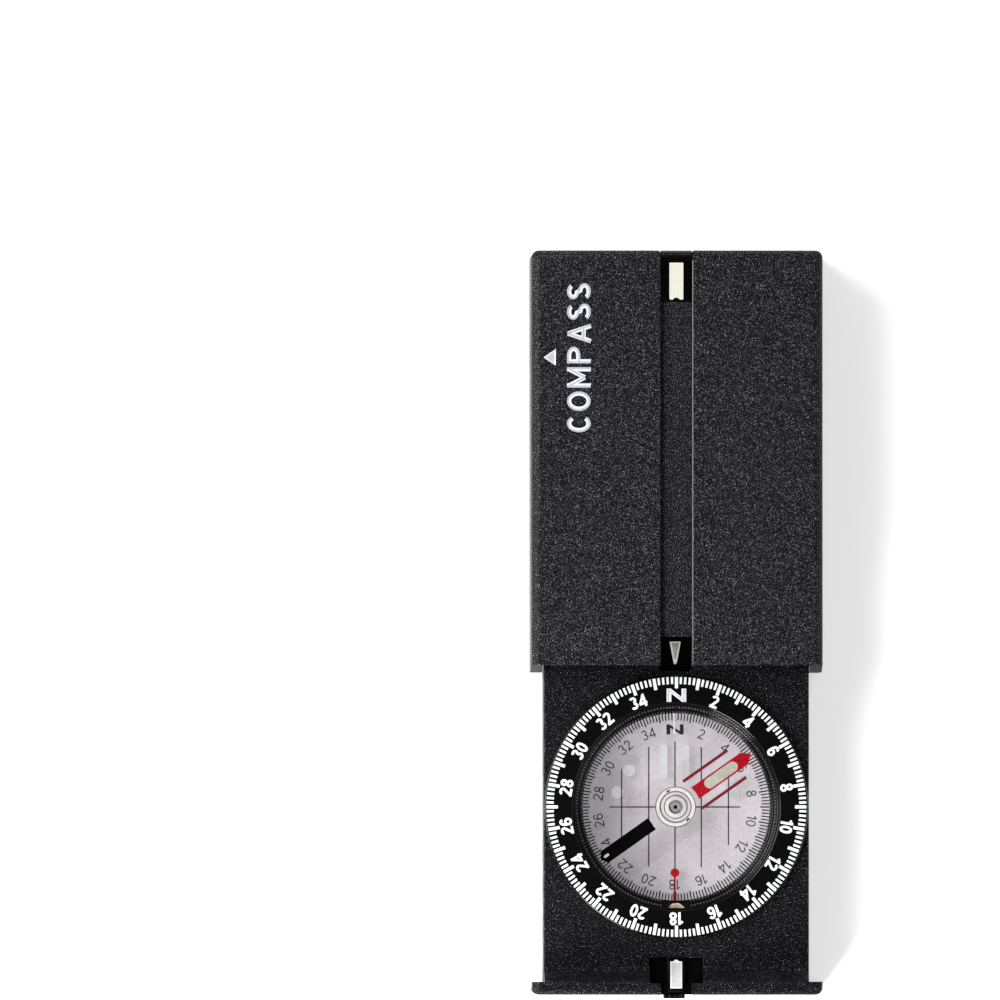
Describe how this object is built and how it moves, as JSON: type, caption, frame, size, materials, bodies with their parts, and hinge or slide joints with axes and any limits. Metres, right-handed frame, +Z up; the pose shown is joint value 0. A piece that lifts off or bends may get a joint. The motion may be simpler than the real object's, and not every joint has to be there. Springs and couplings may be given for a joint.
{
  "type": "slide-out mirror compass",
  "caption": "Pocket compass whose flat base, with a liquid-filled capsule and turning bezel, slides out of a tilting mirror cover with glowing sights.",
  "frame": {"origin": "middle of the underside, with the cover slid out to its stop and lying flat", "axes": "+X to the right, +Y along the direction of travel from the base's end cap to the cover's far end, +Z up through the dial"},
  "size_m": [0.0442, 0.1134, 0.018],
  "materials": {
    "base_plastic": "black moulded plastic with a fine spark-eroded grain",
    "cover_plastic": "black moulded plastic with a fine spark-eroded grain, smooth round edges",
    "bezel_plastic": "glossy black, printed with white graduations",
    "trim_plastic": "plain satin black",
    "shoe_plastic": "self-lubricating dark grey plastic",
    "clear_plastic": "clear acrylic with printed scales and lines",
    "luminous_white": "cream luminous compound",
    "luminous_green": "grey-green luminous compound",
    "steel": "turned steel",
    "magnet_steel": "plain magnet",
    "brass": "turned brass",
    "mirror_glass": "front-polished",
    "glue": "black adhesive film",
    "rubber": "plain black seal",
    "jewel": "polished synthetic sapphire",
    "red_paint": "red enamel",
    "black_paint": "black enamel"
  },
  "bodies": {
    "base": {"base_housing": "base_plastic", "near_sight_holder": "trim_plastic", "near_sight_mark": "luminous_white", "index_mark": "luminous_green"},
    "slider": {"slide_shoe_left": "shoe_plastic", "slide_shoe_right": "shoe_plastic", "friction_washer_left": "steel", "friction_washer_right": "steel"},
    "cover": {"cover_shell": "cover_plastic", "far_sight_holder": "trim_plastic", "far_sight_mark": "luminous_white", "mirror": "mirror_glass", "mirror_adhesive": "glue", "hinge_pin_left": "steel", "hinge_pin_right": "steel"},
    "bezel": {"bezel_ring": "bezel_plastic", "bezel_retaining_ring": "trim_plastic", "capsule_case": "clear_plastic", "capsule_gasket": "rubber", "capsule_lid": "clear_plastic", "capsule_back_plate": "clear_plastic", "pivot_post": "steel"},
    "needle": {"needle_plate": "clear_plastic", "needle_north_arm": "red_paint", "needle_south_arm": "black_paint", "needle_hub": "clear_plastic", "jewel_bearing": "jewel", "needle_magnet": "magnet_steel"},
    "declination_disc": {"declination_disc": "clear_plastic"},
    "declination_screw": {"declination_screw": "brass"}
  },
  "joints": [
    {"name": "cover_slide", "type": "slide", "parent": "base", "child": "slider", "axis": [0, 1, 0], "range_m": [-0.0478, 0]},
    {"name": "cover_tilt", "type": "hinge", "parent": "slider", "child": "cover", "pos_m": [0, -0.0059, 0.0109], "axis": [1, 0, 0], "range_deg": [0, 55]},
    {"name": "bezel_turn", "type": "hinge", "parent": "base", "child": "bezel", "pos_m": [0, -0.02765, 0.0126], "axis": [0, 0, 1], "continuous": true},
    {"name": "needle_swing", "type": "hinge", "parent": "bezel", "child": "needle", "pos_m": [0, -0.02765, 0.00795], "axis": [0, 0, 1], "continuous": true},
    {"name": "declination_turn", "type": "hinge", "parent": "bezel", "child": "declination_disc", "pos_m": [0, -0.02765, 0.0038], "axis": [0, 0, 1], "range_deg": [-30, 30]},
    {"name": "declination_screw_turn", "type": "hinge", "parent": "bezel", "child": "declination_screw", "pos_m": [0, -0.04385, 0.0038], "axis": [0, 0, 1], "range_deg": [-375, 375]}
  ],
  "couplings": [
    {"joint": "declination_screw_turn", "follows": "declination_turn", "ratio": -12.5}
  ]
}
